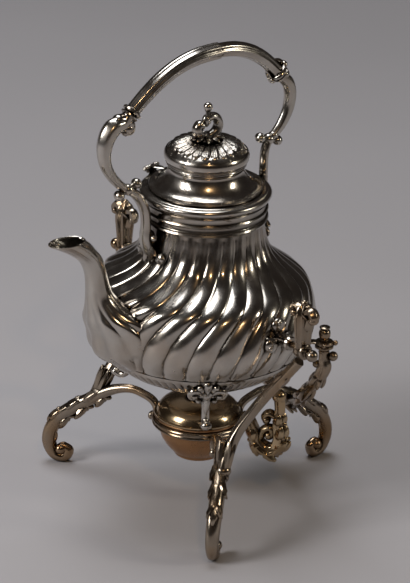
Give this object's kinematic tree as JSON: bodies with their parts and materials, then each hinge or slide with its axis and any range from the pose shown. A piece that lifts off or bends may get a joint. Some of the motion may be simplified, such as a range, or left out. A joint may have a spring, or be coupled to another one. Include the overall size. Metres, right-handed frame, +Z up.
{
  "type": "samovar",
  "caption": "Table samovar: a twisted-lobe kettle with an overhead handle and a spout, which tilts between the brackets of a scroll stand over a spirit burner",
  "frame": {"origin": "midway between the spout's tip and the rear leg's outer edge, midway between the pivot pins, on the table under the feet", "axes": "+Z up, -X the way the spout points, -Y the near side, along which the near pivot pin pulls out"},
  "size_m": [0.3094, 0.2958, 0.4199],
  "materials": {
    "silver": "polished silver plate",
    "stand_silver": "polished silver plate with worn warm tone",
    "gilt_brass": "worn gilt, polished",
    "copper": "worn copper",
    "cotton": "woven cotton wick"
  },
  "bodies": {
    "stand": {"leg_rear": "stand_silver", "leg_near": "stand_silver", "leg_far": "stand_silver", "burner_ring": "stand_silver", "post_near": "stand_silver", "post_far": "stand_silver", "bracket_near": "stand_silver", "bracket_far": "stand_silver", "rear_arm_near": "stand_silver", "rear_arm_far": "stand_silver"},
    "kettle": {"kettle_body": "silver", "base_band": "silver", "neck_ring": "silver", "spout": "silver", "kettle_foot_rear": "silver", "kettle_foot_near": "silver", "kettle_foot_far": "silver", "pivot_boss_near": "silver", "pivot_boss_far": "silver", "rest_lug_near": "silver", "rest_lug_far": "silver", "handle_bracket_front": "silver", "handle_bracket_rear": "silver", "handle_arm_front": "silver", "handle_arm_rear": "silver", "grip_collar_front": "silver", "grip_collar_rear": "silver", "grip": "silver", "hinge_bracket": "silver", "hinge_pin": "silver"},
    "lid": {"lid_base": "silver", "lid_dome": "silver", "finial": "silver", "finial_nut": "gilt_brass", "hinge_leaf": "silver"},
    "pivot_pin_near": {"pivot_pin_near": "stand_silver"},
    "pivot_pin_far": {"pivot_pin_far": "stand_silver"},
    "burner": {"burner_bowl": "copper", "burner_top": "gilt_brass", "burner_handle": "gilt_brass", "wick_tube": "gilt_brass", "wick": "cotton"},
    "snuffer_cap": {"snuffer_cap": "gilt_brass"}
  },
  "joints": [
    {"name": "kettle_tilt", "type": "hinge", "parent": "stand", "child": "kettle", "pos_m": [0.01629, 0, 0.183], "axis": [0, -1, 0], "range_deg": [0, 22]},
    {"name": "lid_hinge", "type": "hinge", "parent": "kettle", "child": "lid", "pos_m": [-0.0093, 0.05815, 0.2915], "axis": [-0.9659, -0.2588, 0], "range_deg": [0, 95]},
    {"name": "pivot_pin_near_slide", "type": "slide", "parent": "stand", "child": "pivot_pin_near", "axis": [0, -1, 0], "range_m": [0, 0.025]},
    {"name": "pivot_pin_far_slide", "type": "slide", "parent": "stand", "child": "pivot_pin_far", "axis": [0, 1, 0], "range_m": [0, 0.025]},
    {"name": "burner_lift", "type": "slide", "parent": "stand", "child": "burner", "axis": [0, 0, 1], "range_m": [0, 0.005]},
    {"name": "snuffer_cap_lift", "type": "slide", "parent": "burner", "child": "snuffer_cap", "axis": [0, 0, 1], "range_m": [0, 0.0035]}
  ]
}
